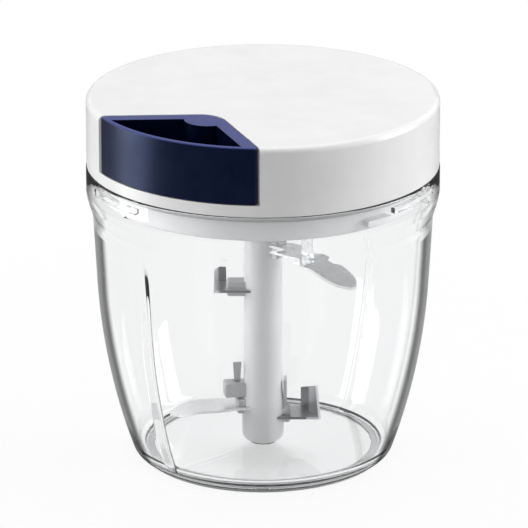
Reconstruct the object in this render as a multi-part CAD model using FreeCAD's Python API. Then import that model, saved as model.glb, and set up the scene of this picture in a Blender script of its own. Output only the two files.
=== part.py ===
import FreeCAD, Part
import math
import os

from FreeCAD import Placement, Rotation, Vector

# Pull-string food chopper, in millimetres.
# Z is up, z = 0 is the surface it stands on, the bowl's axis is x = y = 0,
# and the handle is pulled out towards -Y.

# Whole object
total_height = 142.0
lid_radius = 66.3
lid_height = 26.3         # from the lower edge of the lid's side to its top

# Bowl
bowl_wall = 2.3
collar_margin = 0.2       # how far the collar stands out beyond the lid
collar_height = 11.1      # upright part of the collar
collar_step = 2.4         # from the collar in to the waist
flare_height = 8.2
straight_height = 26.0    # straight part of the wall, from the waist down
straight_inset = 1.35     # how far it leans in on the way down
foot_inset = 15.2         # from the waist in to the foot, in all
rim_gap = 0.4             # between the bowl's rim and the lid's edge
underside_z = 1.2
floor_z = 3.6
foot_round = 4.0
floor_round = 6.0
rim_round = 0.8
flare_round = 14.0
rib_count = 2
rib_azimuth = -101.5
rib_height = 2.2
rib_half_width = 2.6
rib_foot = 0.8            # how deep a rib's foot reaches into the wall

# Ring under the bowl
ring_margin = 2.4         # from the edge of the foot in to the ring
ring_width = 4.6
ring_height = 2.4
ring_round = 0.9

# Pivot pin and its boss on the bowl's floor
pin_radius = 2.5
pin_foot_z = 2.4
pin_top_z = 29.0
pin_dome = 1.4
boss_radius = 4.4
boss_top_z = 10.0

# Bayonet between the lid's skirt and the bowl's collar
bayonet_count = 3
ramp_azimuth = 4.5        # middle of the first ramp
ramp_span = 26.0
ramp_depth = 5.8          # from the rim down to the underside of a ramp
ramp_height = 2.0
ramp_reach = 1.8          # how far a ramp stands in from the collar wall
ramp_root = 0.3
stop_span = 2.5
lug_span = 10.0
lug_height = 2.1
lug_gap = 0.3             # from the lug to the ramp above it and to the collar
twist_angle = 20.0        # turn from open to locked
lug_play = 1.5            # angle left between the lug and the end stop

# Lid base
seal_room = 3.7           # between the skirt and the collar
skirt_depth = 11.0        # how far the skirt reaches below the lid's edge
skirt_wall = 1.8
base_floor = 2.0
flange_height = 1.1
cover_play = 0.1          # lid base to the inside of the cover
skirt_round = 0.8

# Seal ring on the skirt
seal_height = 2.4
seal_gap = 0.3            # to the collar and to the flange above
seal_fit = 0.06           # running fit on the skirt
seal_round = 0.6

# Lid cover
cover_wall = 2.2
cover_round = 2.2

# Handle and its notch
handle_half_angle = 32.3  # half of the arc it takes from the lid's side
handle_apex_gap = 5.1     # from the reel to where the two straight sides would meet
handle_apex_round = 10.0
handle_strip = 4.8        # height of the lid's side left under the handle
handle_gap = 0.35
handle_side_wall = 5.2
handle_front_wall = 1.8
handle_floor = 2.4
handle_round = 0.7
handle_corner_round = 1.5
notch_wall = 1.8
notch_floor = 1.6
anchor_length = 15.5      # from the apex to the front of the round block for the knot
anchor_radius = 8.8
anchor_cap_height = 2.0
anchor_cap_radius = 4.9

# Cord
cord_radius = 0.9
cord_hole_radius = 1.3
winding_radius = 18.5     # to the middle of the cord
winding_side_gap = 0.2
winding_play = 0.05       # between the turns and the drum
cord_joint_gap = 0.1      # between the turns below and the turn that leaves the drum
wrap_angle = 200.0        # how far round the drum the leaving turn is made
pull_travel = 450.0
spare_turns = 0.38        # turns left on the reel with the handle right out
cord_corner_lead = 1.4    # from the apex in to the corner of the cord's route
cord_bend_share = 0.45
knot_radius = 2.5
knot_distance = 9.0       # from the apex to the middle of the knot
well_radius = 3.3
well_floor = 1.2

# Eyelet in the notch wall
eyelet_radius = 3.2
eyelet_bore = 1.5
eyelet_flare = 1.0
eyelet_head = 1.0
eyelet_head_reach = 0.8
eyelet_recess = 0.1

# Reel and its spring cup
axle_radius = 3.0
axle_fit = 0.06
axle_end_gap = 0.5
reel_radius = 25.0
reel_flange = 1.5
reel_sink = 1.3           # how far the reel reaches below the lid's edge
reel_top_gap = 1.2        # between the reel's cap and the ceiling of the cover
spring_room = 8.0
cup_wall = 1.6
reel_cap_height = 1.2
arbor_radius = 6.0
arbor_gap = 0.5
arbor_slot = 0.7
cap_spigot = 1.0          # height and width of the cap's ring inside the cup

# Recoil spring
spring_strip = 0.4
spring_height = 6.0
spring_turns = 7
spring_pitch = 1.9
spring_lift = 1.0

# Drive hub with its ratchet ring and hexagonal stub
hub_wall = 2.0
hub_disc = 2.0
hub_floor_gap = 0.6       # to the floor of the lid base
hub_reel_gap = 0.8        # from its ring to the reel above
ratchet_outer = 27.0
ratchet_inner = 24.6
tooth_count = 12
tooth_backlash = 7.0      # angle from a pawl's tip to the tooth it pushes
journal_radius = 7.9
sleeve_radius = 6.0
hex_flats = 9.6
stub_length = 9.4         # how far the stub reaches into the shaft

# Bush of the drive hub
bush_wall = 1.6
bush_fit = 0.06
bush_head = 0.5
bush_head_reach = 2.0
bush_collar = 2.4

# Pawls
pawl_count = 2
pawl_azimuth = 60.0
pawl_pivot = 17.0
pawl_tip_radius = 25.9
pawl_sweep = 30.0         # angle from the pivot to the tip, against the pull
pawl_height = 3.8
pawl_eye = 2.6
pawl_neck = 2.1           # half width of the lever beside its eye
pawl_tip_round = 0.7
pawl_pin_radius = 1.2
pawl_pin_fit = 0.06
pawl_end_gap = 0.4
pawl_spring_wire = 0.5
pawl_spring_gap = 0.3
pawl_spring_touch = 0.05
pawl_spring_share = 0.75  # where along the lever the spring presses
pawl_spring_lead = 14.0   # angle from the pawl's pivot back to the spring's foot
pawl_spring_knee = 8.0

# Screws from below into posts of the cover
screw_azimuths = (90.0, 205.0, -25.0)
screw_circle = 46.0
screw_radius = 1.5
screw_length = 12.0
screw_head_radius = 2.8
screw_head_height = 1.8
screw_slot = 0.7
post_radius = 3.6
pad_radius = 5.0
pad_height = 2.0

# Blade shaft
shaft_foot_z = 4.2
hub_foot_radius = 8.0
hub_foot_top_z = 19.0
hub_foot_shoulder = 6.0   # height of the taper above the foot
shaft_low_radius = 7.5
shaft_top_radius = 7.0
shaft_top_gap = 0.8       # to the underside of the lid base
shaft_foot_round = 3.2
boss_gap = 0.35
socket_gap = 0.1
socket_end_gap = 0.8
shaft_bush_radius = 4.2
shaft_bush_top_z = 22.0
shaft_bush_gap = 0.15     # above the boss, and under the shaft's step
shaft_bush_play = 0.06    # running fit in the shaft
pin_fit = 0.06
pin_end_gap = 1.5

# Blades: azimuth of each, its drop below the shaft's top or its height above the table,
# its reach from the axis, its width and its arm. A long blade has a neck and a leaf that is
# bent down. A short one has an end for each of its two edges, and a plate that stands up on a
# fold: its corners are distances along the fold and heights. A tab stands on a middle line.
blade_thickness = 1.0
blade_tang = 4.6          # where a blade starts inside the shaft
leaf_shape = ((0.0, 0.0), (0.16, 0.8), (0.5, 1.0), (0.86, 0.68))
arm_width = 6.0
arm_height = 5.4
arm_round = 1.0
blade_specs = {
    "blade_top_long": dict(azimuth=-5.5, drop=21.6, bend=23.8, rise=-7.3, reach=43.6, width=13.8,
                           neck=7.6, leaf=20.5, arm=9.6, tab=(19.0, 4.9, -4.5, 9.0, 0.0)),
    "blade_upper_short": dict(azimuth=213.5, drop=38.1, width=11.4, arm=13.8, ends=(18.6, 18.6),
                              fold=((14.0, -5.7), (18.6, -5.7)),
                              plate=((0.0, 0.0), (4.6, 0.0), (4.6, 4.9), (2.3, 9.4), (0.0, 9.4))),
    "blade_lower_upright": dict(azimuth=222.0, height=25.3, bend=10.0, rise=0.0, reach=14.0, width=4.0,
                                neck=4.0, leaf=12.5, arm=15.2, tab=(9.0, 1.9, 0.0, 10.6, 0.65)),
    "blade_lower_short": dict(azimuth=33.5, height=14.7, width=12.0, arm=10.5, ends=(21.2, 14.5),
                              fold=((14.5, 6.0), (21.2, -6.0)),
                              plate=((0.0, 0.0), (13.7, 0.0), (11.2, 12.8), (0.0, 8.6))),
    "blade_lower_long": dict(azimuth=224.0, height=18.8, bend=26.0, rise=-2.2, reach=36.0, width=13.0,
                             neck=11.0, leaf=12.0, arm=10.5),
}
fin_blade = "blade_lower_short"
fin_start = 7.8           # upright fin between the shaft and an arm
fin_thickness = 1.3
fin_height = 14.0

# Values that follow from the sizes above
lid_edge_z = total_height - lid_height
rim_z = lid_edge_z - rim_gap
flare_top_z = rim_z - collar_height
waist_z = flare_top_z - flare_height
collar_radius = lid_radius + collar_margin
collar_inner = collar_radius - bowl_wall
waist_radius = collar_radius - collar_step
foot_radius = waist_radius - foot_inset
flare_angle = math.atan2(collar_step, flare_height)
flare_shift = bowl_wall * math.tan(flare_angle / 2)
wall_tilt = math.atan2(straight_inset, straight_height)
inner_bend = bowl_wall / (1 + math.cos(flare_angle - wall_tilt))
inner_waist_radius = waist_radius - inner_bend * (math.cos(flare_angle) + math.cos(wall_tilt))
inner_waist_z = waist_z + inner_bend * (math.sin(flare_angle) + math.sin(wall_tilt))
curve_top_radius = waist_radius - straight_inset
curve_top_z = waist_z - straight_height
curve_inset = curve_top_radius - foot_radius
curve_height = curve_top_z - underside_z
curve_bow = curve_inset * math.cos(wall_tilt) - curve_height * math.sin(wall_tilt)
wall_curve = (curve_inset ** 2 + curve_height ** 2) / (2 * curve_bow)
curve_centre_radius = curve_top_radius - wall_curve * math.cos(wall_tilt)
curve_centre_z = curve_top_z + wall_curve * math.sin(wall_tilt)
ring_outer = foot_radius - ring_margin
ring_inner = ring_outer - ring_width
ramp_z = rim_z - ramp_depth
skirt_radius = collar_inner - seal_room
skirt_bottom_z = lid_edge_z - skirt_depth
cover_inner = lid_radius - cover_wall
cover_ceiling = total_height - cover_wall
handle_apex = reel_radius + handle_apex_gap
handle_bottom_z = lid_edge_z + handle_strip
anchor_y = anchor_radius - handle_apex - anchor_length
knot_y = -handle_apex - knot_distance
cord_corner = handle_apex - cord_corner_lead
handle_corner_x = lid_radius * math.sin(math.radians(handle_half_angle))
handle_corner_y = lid_radius * math.cos(math.radians(handle_half_angle))
handle_side_angle = math.atan2(handle_corner_x, handle_corner_y - handle_apex)
notch_floor_z = handle_bottom_z - handle_gap
base_floor_top = skirt_bottom_z + base_floor
flange_bottom_z = lid_edge_z
reel_bottom_z = lid_edge_z - reel_sink
cup_top_z = cover_ceiling - reel_top_gap - reel_cap_height
cup_floor_z = cup_top_z - spring_room
drum_top_z = cup_floor_z - reel_flange
drum_bottom_z = reel_bottom_z + reel_flange
drum_radius = winding_radius - cord_radius - winding_play
winding_turns = pull_travel / (2 * math.pi * winding_radius) + spare_turns
winding_start_z = drum_bottom_z + cord_radius + winding_side_gap
cord_z = drum_top_z - cord_radius - winding_side_gap
hub_radius = ratchet_outer + hub_wall
hub_bottom_z = base_floor_top + hub_floor_gap
hub_ring_top_z = reel_bottom_z - hub_reel_gap
shaft_top_z = skirt_bottom_z - shaft_top_gap
stub_bottom_z = shaft_top_z - stub_length
cord_leave_angle = math.acos(winding_radius / cord_corner)
axle_bottom_z = hub_bottom_z + axle_end_gap
pawl_bottom_z = hub_bottom_z + hub_disc + pawl_end_gap
notch_nose = handle_apex_round / math.sin(handle_side_angle) - handle_apex_round + handle_apex
eyelet_front_y = -notch_nose + handle_gap - eyelet_recess
eyelet_back_y = -notch_nose + handle_gap + notch_wall


def point(radius, z):
    return Vector(radius, 0, z)


def polar(radius, degrees, z=0.0):
    angle = math.radians(degrees)
    return Vector(radius * math.cos(angle), radius * math.sin(angle), z)


def revolved(edges):
    face = Part.Face(Part.Wire(edges))
    return face.revolve(Vector(0, 0, 0), Vector(0, 0, 1), 360)


def polygon_edges(points):
    pairs = zip(points, points[1:] + points[:1])
    return [Part.LineSegment(a, b).toShape() for a, b in pairs]


def turned_profile(points):
    return revolved(polygon_edges([point(r, z) for r, z in points]))


def prism(points, z0, z1):
    face = Part.Face(Part.Wire(polygon_edges([Vector(x, y, z0) for x, y in points])))
    return face.extrude(Vector(0, 0, z1 - z0))


def cylinder(radius, z0, z1, centre=(0.0, 0.0)):
    return Part.makeCylinder(radius, z1 - z0, Vector(centre[0], centre[1], z0))


def ring(inner, outer, z0, z1):
    return cylinder(outer, z0, z1).cut(cylinder(inner, z0, z1))


def sector(inner, outer, z0, z1, middle, span):
    """Part of a ring, `span` degrees wide about the azimuth `middle`."""
    start = middle - span / 2
    whole = Part.makeCylinder(outer, z1 - z0, Vector(0, 0, z0), Vector(0, 0, 1), span)
    hole = cylinder(inner, z0, z1)
    return spun(whole.cut(hole), start)


def spun(shape, degrees):
    copy = shape.copy()
    copy.rotate(Vector(0, 0, 0), Vector(0, 0, 1), degrees)
    return copy


def fused(shapes):
    whole = shapes[0].multiFuse(shapes[1:])
    return whole.removeSplitter()


def rim_edges(shape, radius, z, tolerance=0.05):
    """Circular edges about the Z axis with this radius at this height."""
    found = []
    for edge in shape.Edges:
        curve = edge.Curve
        if not isinstance(curve, Part.Circle):
            continue
        on_axis = math.hypot(curve.Center.x, curve.Center.y) < tolerance
        if on_axis and abs(curve.Radius - radius) < tolerance and abs(curve.Center.z - z) < tolerance:
            found.append(edge)
    return found


def wall_radius(z, curve):
    """Radius of the bowl's wall at a height in its curved part, on the curve with this radius."""
    return curve_centre_radius + math.sqrt(curve ** 2 - (curve_centre_z - z) ** 2)


def wall_arc(curve, z_low):
    """Curved part of the wall, from a height up to where its straight part begins."""
    z_high = curve_centre_z - curve * math.sin(wall_tilt)
    z_mid = (z_low + z_high) / 2
    ends = [point(wall_radius(z, curve), z) for z in (z_low, z_mid, z_high)]
    return Part.Arc(*ends).toShape()


def bowl_shell():
    """The bowl's wall, floor and collar as one turned solid."""
    inner_curve = wall_curve - bowl_wall
    outer = wall_arc(wall_curve, underside_z)
    inner = wall_arc(inner_curve, floor_z)
    corners = [
        outer.Vertexes[-1].Point,
        point(waist_radius, waist_z),
        point(collar_radius, flare_top_z),
        point(collar_radius, rim_z),
        point(collar_inner, rim_z),
        point(collar_inner, flare_top_z + flare_shift),
        point(inner_waist_radius, inner_waist_z),
        inner.Vertexes[-1].Point,
    ]
    floor_path = [
        inner.Vertexes[0].Point,
        point(0, floor_z),
        point(0, underside_z),
        outer.Vertexes[0].Point,
    ]
    edges = [outer, inner]
    for path in (corners, floor_path):
        edges += [Part.LineSegment(a, b).toShape() for a, b in zip(path, path[1:])]
    shell = revolved(Part.__sortEdges__(edges))
    foot = rim_edges(shell, wall_radius(underside_z, wall_curve), underside_z)
    shell = shell.makeFillet(foot_round, foot)
    corner = rim_edges(shell, wall_radius(floor_z, inner_curve), floor_z)
    shell = shell.makeFillet(floor_round, corner)
    rim = rim_edges(shell, collar_radius, rim_z) + rim_edges(shell, collar_inner, rim_z)
    shell = shell.makeFillet(rim_round, rim)
    bends = [(collar_radius, flare_top_z), (waist_radius, waist_z),
             (collar_inner, flare_top_z + flare_shift), (inner_waist_radius, inner_waist_z)]
    for radius, z in bends:
        shell = shell.makeFillet(flare_round, rim_edges(shell, radius, z))
    return shell


def wall_rib():
    """One upright rib: a triangle that follows the inside of the wall, straight and then curved."""
    inward = Vector(-math.cos(wall_tilt), 0, math.sin(wall_tilt))
    upward = Vector(math.sin(wall_tilt), 0, math.cos(wall_tilt))
    across = Vector(0, rib_half_width, 0)
    start = Vector(curve_top_radius, 0, curve_top_z)
    root = start + inward * (bowl_wall - rib_foot)
    tip = start + inward * (bowl_wall + rib_height)
    face = Part.Face(Part.Wire(polygon_edges([root - across, root + across, tip])))
    foot_z = (floor_z + underside_z) / 2
    sweep = math.asin((curve_centre_z - foot_z) / (wall_curve - bowl_wall)) - wall_tilt
    centre = Vector(curve_centre_radius, 0, curve_centre_z)
    curved = face.revolve(centre, Vector(0, 1, 0), math.degrees(sweep))
    return fused([face.extrude(upward * (straight_height / math.cos(wall_tilt))), curved])


def bayonet_ramps():
    ramps = []
    stop_middle = ramp_azimuth - ramp_span / 2 + twist_angle + stop_span / 2
    for i in range(bayonet_count):
        step = i * 360.0 / bayonet_count
        inner = collar_inner - ramp_reach
        outer = collar_inner + ramp_root
        ramps.append(sector(inner, outer, ramp_z, ramp_z + ramp_height, ramp_azimuth + step, ramp_span))
        low = ramp_z - lug_gap - lug_height
        ramps.append(sector(inner, outer, low, ramp_z, stop_middle + step, stop_span))
    return ramps


def bowl():
    shape = bowl_shell()
    below = cylinder(lid_radius, -floor_z, (floor_z + underside_z) / 2)
    ribs = [spun(wall_rib(), rib_azimuth + i * 360.0 / rib_count).cut(below) for i in range(rib_count)]
    boss = cylinder(boss_radius, underside_z, boss_top_z)
    shape = fused([shape, boss] + ribs + bayonet_ramps())
    groove = ring(ring_inner, ring_outer, 0, ring_height)
    return shape.cut(groove).cut(pivot_pin())


def base_ring():
    shape = ring(ring_inner, ring_outer, 0, ring_height)
    feet = rim_edges(shape, ring_inner, 0) + rim_edges(shape, ring_outer, 0)
    return shape.makeFillet(ring_round, feet)


def pivot_pin():
    shape = cylinder(pin_radius, pin_foot_z, pin_top_z)
    return shape.makeFillet(pin_dome, rim_edges(shape, pin_radius, pin_top_z))


def seal_ring():
    inner = skirt_radius + seal_fit
    outer = collar_inner - seal_gap
    top = flange_bottom_z - seal_gap
    shape = ring(inner, outer, top - seal_height, top)
    edges = rim_edges(shape, outer, top) + rim_edges(shape, outer, top - seal_height)
    return shape.makeFillet(seal_round, edges)


def lid_base():
    """Tub that closes the lid from below: floor, skirt, flange, lugs and screw pads."""
    top = flange_bottom_z + flange_height
    skirt = cylinder(skirt_radius, skirt_bottom_z, top)
    skirt = skirt.makeFillet(skirt_round, rim_edges(skirt, skirt_radius, skirt_bottom_z))
    skirt = skirt.cut(cylinder(skirt_radius - skirt_wall, base_floor_top, top))
    flange = ring(skirt_radius - skirt_wall, cover_inner - cover_play, flange_bottom_z, top)
    solids = [skirt, flange]
    lug_top = ramp_z - lug_gap
    lug_middle = ramp_azimuth - ramp_span / 2 - lug_span / 2 - lug_play
    for i in range(bayonet_count):
        azimuth = lug_middle + i * 360.0 / bayonet_count
        solids.append(sector(skirt_radius - ramp_root, collar_inner - lug_gap, lug_top - lug_height,
                             lug_top, azimuth, lug_span))
    for azimuth in screw_azimuths:
        centre = polar(screw_circle, azimuth)
        solids.append(cylinder(pad_radius, skirt_bottom_z + base_floor / 2, base_floor_top + pad_height,
                               (centre.x, centre.y)))
    collar = cylinder(journal_radius + bush_fit + bush_wall + bush_collar, skirt_bottom_z, base_floor_top)
    shape = fused(solids + [collar])
    bore = journal_radius + bush_fit + bush_wall
    shape = shape.cut(cylinder(bore, skirt_bottom_z, base_floor_top))
    return shape.cut(lid_screws())


def lid_screws():
    """Pan-head screws with a slot, heads sunk into the pads of the lid base."""
    screws = []
    head_top = skirt_bottom_z + screw_head_height
    for azimuth in screw_azimuths:
        centre = polar(screw_circle, azimuth)
        place = (centre.x, centre.y)
        head = cylinder(screw_head_radius, skirt_bottom_z, head_top, place)
        shank = cylinder(screw_radius, head_top, head_top + screw_length, place)
        slot = Part.makeBox(2 * screw_head_radius, screw_slot, screw_slot,
                            Vector(centre.x - screw_head_radius, centre.y - screw_slot / 2, skirt_bottom_z))
        screws.append(fused([head, shank]).cut(slot))
    return Part.makeCompound(screws)


def handle_wedge(inset, outer_radius, z0, z1):
    """Solid with the handle's V-shaped plan, its straight sides moved in by `inset`."""
    apex = handle_apex + inset / math.sin(handle_side_angle)
    rounding = handle_apex_round - inset
    along = Vector(math.sin(handle_side_angle), -math.cos(handle_side_angle), 0)
    reach = math.sqrt(outer_radius ** 2 - (apex * math.sin(handle_side_angle)) ** 2)
    reach -= apex * math.cos(handle_side_angle)
    start = rounding / math.tan(handle_side_angle)
    tip = Vector(0, -apex, z0)
    right_low = tip + along * start
    right_high = tip + along * reach
    left_low = Vector(-right_low.x, right_low.y, z0)
    left_high = Vector(-right_high.x, right_high.y, z0)
    nose = Vector(0, -(apex + rounding / math.sin(handle_side_angle) - rounding), z0)
    front = Vector(0, -outer_radius, z0)
    edges = [
        Part.Arc(left_low, nose, right_low).toShape(),
        Part.LineSegment(right_low, right_high).toShape(),
        Part.Arc(right_high, front, left_high).toShape(),
        Part.LineSegment(left_high, left_low).toShape(),
    ]
    return Part.Face(Part.Wire(edges)).extrude(Vector(0, 0, z1 - z0))


def screw_post(azimuth):
    centre = polar(screw_circle, azimuth)
    return cylinder(post_radius, base_floor_top + pad_height, cover_ceiling, (centre.x, centre.y))


def lid_cover():
    """White cover: flat top, upright side, walled notch for the handle, posts and arbor."""
    outside = cylinder(lid_radius, lid_edge_z, total_height)
    outside = outside.makeFillet(cover_round, rim_edges(outside, lid_radius, total_height))
    wide = lid_radius + cover_wall
    notch = handle_wedge(-handle_gap, wide, notch_floor_z, total_height + cover_wall)
    walls = handle_wedge(-handle_gap - notch_wall, wide, notch_floor_z - notch_floor, total_height)
    cavity = cylinder(cover_inner, lid_edge_z, cover_ceiling).cut(walls)
    shell = outside.cut(cavity).cut(notch)
    posts = [screw_post(azimuth) for azimuth in screw_azimuths]
    arbor = cylinder(arbor_radius, cup_floor_z + arbor_gap, cover_ceiling)
    shape = fused([shell, arbor] + posts)
    slot = Part.makeBox(arbor_radius + arbor_gap, arbor_slot, spring_height + 2 * spring_lift,
                        Vector(0, -arbor_slot / 2, cup_floor_z))
    return shape.cut(lid_screws()).cut(axle_pin()).cut(slot).cut(eyelet_blank())


def axle_pin():
    return cylinder(axle_radius, axle_bottom_z, cover_ceiling)


def along_y(radius, y0, y1, x=0.0, z=0.0):
    """Cylinder along Y between two places."""
    return Part.makeCylinder(radius, abs(y1 - y0), Vector(x, min(y0, y1), z), Vector(0, 1, 0))


def eyelet_blank():
    shank = along_y(eyelet_radius, eyelet_front_y, eyelet_back_y, z=cord_z)
    head = along_y(eyelet_radius + eyelet_head_reach, eyelet_back_y, eyelet_back_y + eyelet_head, z=cord_z)
    return fused([shank, head])


def cord_eyelet():
    """Smooth ring in the notch wall, its bore flared at both ends."""
    bore = along_y(eyelet_bore, eyelet_front_y, eyelet_back_y + eyelet_head, z=cord_z)
    shape = eyelet_blank().cut(bore)
    mouths = []
    for edge in shape.Edges:
        curve = edge.Curve
        if isinstance(curve, Part.Circle) and abs(curve.Radius - eyelet_bore) < 0.01:
            mouths.append(edge)
    return shape.makeFillet(eyelet_flare, mouths)


def drive_bush():
    bore = journal_radius + bush_fit
    sleeve = ring(bore, bore + bush_wall, skirt_bottom_z, base_floor_top + bush_head)
    head = ring(bore, bore + bush_wall + bush_head_reach, base_floor_top, base_floor_top + bush_head)
    return fused([sleeve, head])


def handle_shell():
    """Blue handle: V-shaped cup, its pocket open for fingers in front of the knot's round block."""
    outside = handle_wedge(0, lid_radius, handle_bottom_z, total_height)
    upright = [edge for edge in outside.Edges
               if edge.BoundBox.ZLength > handle_round and edge.BoundBox.YMin < handle_round - handle_corner_y]
    outside = outside.makeFillet(handle_corner_round, upright)
    rounded = [edge for edge in outside.Edges if edge.BoundBox.ZMin > handle_bottom_z + handle_round]
    outside = outside.makeFillet(handle_round, rounded)
    floor_top = handle_bottom_z + handle_floor
    pocket = handle_wedge(handle_side_wall, lid_radius - handle_front_wall, floor_top,
                          total_height + handle_floor)
    block = cylinder(anchor_radius, floor_top, total_height, (0, anchor_y))
    shape = outside.cut(pocket.cut(block))
    well_z = floor_top + well_floor
    shape = shape.cut(cylinder(well_radius, well_z, total_height, (0, knot_y)))
    hole = along_y(cord_hole_radius, knot_y, -handle_apex, z=cord_z)
    return shape.cut(hole).cut(anchor_cap())


def anchor_cap():
    """Round cap over the knot, sunk flush into the top of the block."""
    return cylinder(anchor_cap_radius, total_height - anchor_cap_height, total_height, (0, knot_y))


def cord_knot():
    ball = Part.makeSphere(knot_radius, Vector(0, knot_y, cord_z))
    end = along_y(cord_radius, knot_y, knot_y + knot_radius, z=cord_z)
    return ball.cut(end)


def reel():
    """Drum between two flanges with the open spring cup on top, in one piece."""
    low_flange = cylinder(reel_radius, reel_bottom_z, drum_bottom_z)
    drum = cylinder(drum_radius, drum_bottom_z, drum_top_z)
    top_flange = cylinder(reel_radius, drum_top_z, cup_floor_z)
    cup = ring(reel_radius - cup_wall, reel_radius, cup_floor_z, cup_top_z)
    shape = fused([low_flange, drum, top_flange, cup])
    shape = shape.cut(cylinder(axle_radius + axle_fit, reel_bottom_z, cup_top_z))
    return shape.cut(pawl_pins())


def reel_cap():
    top = cup_top_z + reel_cap_height
    plate = ring(arbor_radius + arbor_gap, reel_radius, cup_top_z, top)
    spigot = ring(reel_radius - cup_wall - cap_spigot, reel_radius - cup_wall, cup_top_z - cap_spigot, cup_top_z)
    return fused([plate, spigot])


def recoil_spring():
    """Flat strip wound from the arbor to the cup wall in half turns about two centres."""
    step = spring_pitch / 2
    half_turns = 2 * spring_turns
    inner_start = arbor_radius + arbor_gap
    bottom = cup_floor_z + spring_lift
    outward = []
    inward = []
    for i in range(half_turns):
        centre = Vector(step if i % 2 else 0, 0, bottom)
        side = -1 if i % 2 else 1
        for radius, edges in ((inner_start + i * step, outward),
                              (inner_start + i * step + spring_strip, inward)):
            start = centre + Vector(side * radius, 0, 0)
            top = centre + Vector(0, side * radius, 0)
            end = centre - Vector(side * radius, 0, 0)
            edges.append(Part.Arc(start, top, end).toShape())
    ends = [(inward[0].Vertexes[0].Point, outward[0].Vertexes[0].Point),
            (outward[-1].Vertexes[-1].Point, inward[-1].Vertexes[-1].Point)]
    caps = [Part.LineSegment(a, b).toShape() for a, b in ends]
    outline = Part.Wire(Part.__sortEdges__(outward + inward + caps))
    return Part.Face(outline).extrude(Vector(0, 0, spring_height))


def cord_winding():
    """The turns that stay under the leaving turn, as one plain sleeve on the drum."""
    low = winding_start_z - cord_radius
    high = cord_z - cord_radius - cord_joint_gap
    return ring(drum_radius + winding_play, winding_radius + cord_radius, low, high)


def pull_cord():
    """The leaving turn on the drum, then the stretch through the eyelet to the knot."""
    leave_angle = -90.0 + math.degrees(cord_leave_angle)
    start = polar(winding_radius, leave_angle + wrap_angle, cord_z)
    halfway = polar(winding_radius, leave_angle + wrap_angle / 2, cord_z)
    leave = polar(winding_radius, leave_angle, cord_z)
    corner = Vector(0, -cord_corner, cord_z)
    finish = Vector(0, knot_y + knot_radius, cord_z)
    first = (corner - leave).normalize()
    second = Vector(0, -1, 0)
    half_turn = first.getAngle(second) / 2
    setback = cord_bend_share * min((corner - leave).Length, (finish - corner).Length)
    radius = setback / math.tan(half_turn)
    enter = corner - first * setback
    bend_end = corner + second * setback
    towards = (second - first).normalize()
    middle = corner + towards * (radius / math.cos(half_turn) - radius)
    print("cord bend radius", round(radius, 2))
    edges = [
        Part.Arc(start, halfway, leave).toShape(),
        Part.LineSegment(leave, enter).toShape(),
        Part.Arc(enter, middle, bend_end).toShape(),
        Part.LineSegment(bend_end, finish).toShape(),
    ]
    tangent = start.cross(Vector(0, 0, 1)).normalize()
    circle = Part.Wire(Part.Circle(start, tangent, cord_radius).toShape())
    return Part.Wire(edges).makePipeShell([circle], True, False)


def ratchet_profile():
    """Outline inside the hub's ring: a ramp and a radial face for each tooth."""
    tooth = 360.0 / tooth_count
    face_angle = pawl_azimuth - pawl_sweep - tooth_backlash
    edges = []
    for i in range(tooth_count):
        angle = face_angle - i * tooth
        pocket = polar(ratchet_outer, angle)
        crest = polar(ratchet_inner, angle)
        slope = polar((ratchet_inner + ratchet_outer) / 2, angle - tooth / 2)
        edges.append(Part.LineSegment(pocket, crest).toShape())
        edges.append(Part.Arc(crest, slope, polar(ratchet_outer, angle - tooth)).toShape())
    return Part.Face(Part.Wire(edges))


def hexagon(flats, z0, z1):
    corner = flats / math.sqrt(3)
    places = [polar(corner, 60.0 * i) for i in range(6)]
    return prism([(p.x, p.y) for p in places], z0, z1)


def drive_hub():
    """Ratchet ring, disc, bearing journal and the hexagonal stub for the blade shaft."""
    disc_top = hub_bottom_z + hub_disc
    wall = cylinder(hub_radius, hub_bottom_z, hub_ring_top_z)
    hollow = ratchet_profile().extrude(Vector(0, 0, hub_ring_top_z - disc_top))
    hollow.translate(Vector(0, 0, disc_top))
    sleeve = cylinder(sleeve_radius, hub_bottom_z, hub_ring_top_z)
    journal = cylinder(journal_radius, skirt_bottom_z, hub_bottom_z)
    stub = hexagon(hex_flats, stub_bottom_z, hub_bottom_z)
    shape = fused([wall.cut(hollow), sleeve, journal, stub])
    return shape.cut(cylinder(axle_radius + axle_fit, axle_bottom_z - axle_end_gap, hub_ring_top_z))


def pawl_place(index):
    return polar(pawl_pivot, pawl_azimuth + index * 360.0 / pawl_count)


def pawl_pins():
    pins = []
    for i in range(pawl_count):
        centre = pawl_place(i)
        pins.append(cylinder(pawl_pin_radius, pawl_bottom_z, reel_bottom_z + reel_flange / 2,
                             (centre.x, centre.y)))
    return Part.makeCompound(pins)


def pawl_line():
    """Centres of the first pawl's eye and tip, and the direction across it to the axis."""
    eye = polar(pawl_pivot, pawl_azimuth)
    tip = polar(pawl_tip_radius - pawl_tip_round, pawl_azimuth - pawl_sweep)
    inward = (tip - eye).cross(Vector(0, 0, 1)).normalize()
    return eye, tip, inward


def pawl(index):
    """Lever from its eye to a rounded tip behind a ratchet tooth."""
    eye, tip, inward = pawl_line()
    sides = [eye + inward * pawl_neck, tip + inward * pawl_tip_round,
             tip - inward * pawl_tip_round, eye - inward * pawl_neck]
    top = pawl_bottom_z + pawl_height
    shape = fused([
        prism([(p.x, p.y) for p in sides], pawl_bottom_z, top),
        cylinder(pawl_eye, pawl_bottom_z, top, (eye.x, eye.y)),
        cylinder(pawl_tip_round, pawl_bottom_z, top, (tip.x, tip.y)),
    ])
    shape = shape.cut(cylinder(pawl_pin_radius + pawl_pin_fit, pawl_bottom_z, top, (eye.x, eye.y)))
    return spun(shape, index * 360.0 / pawl_count)


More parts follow.
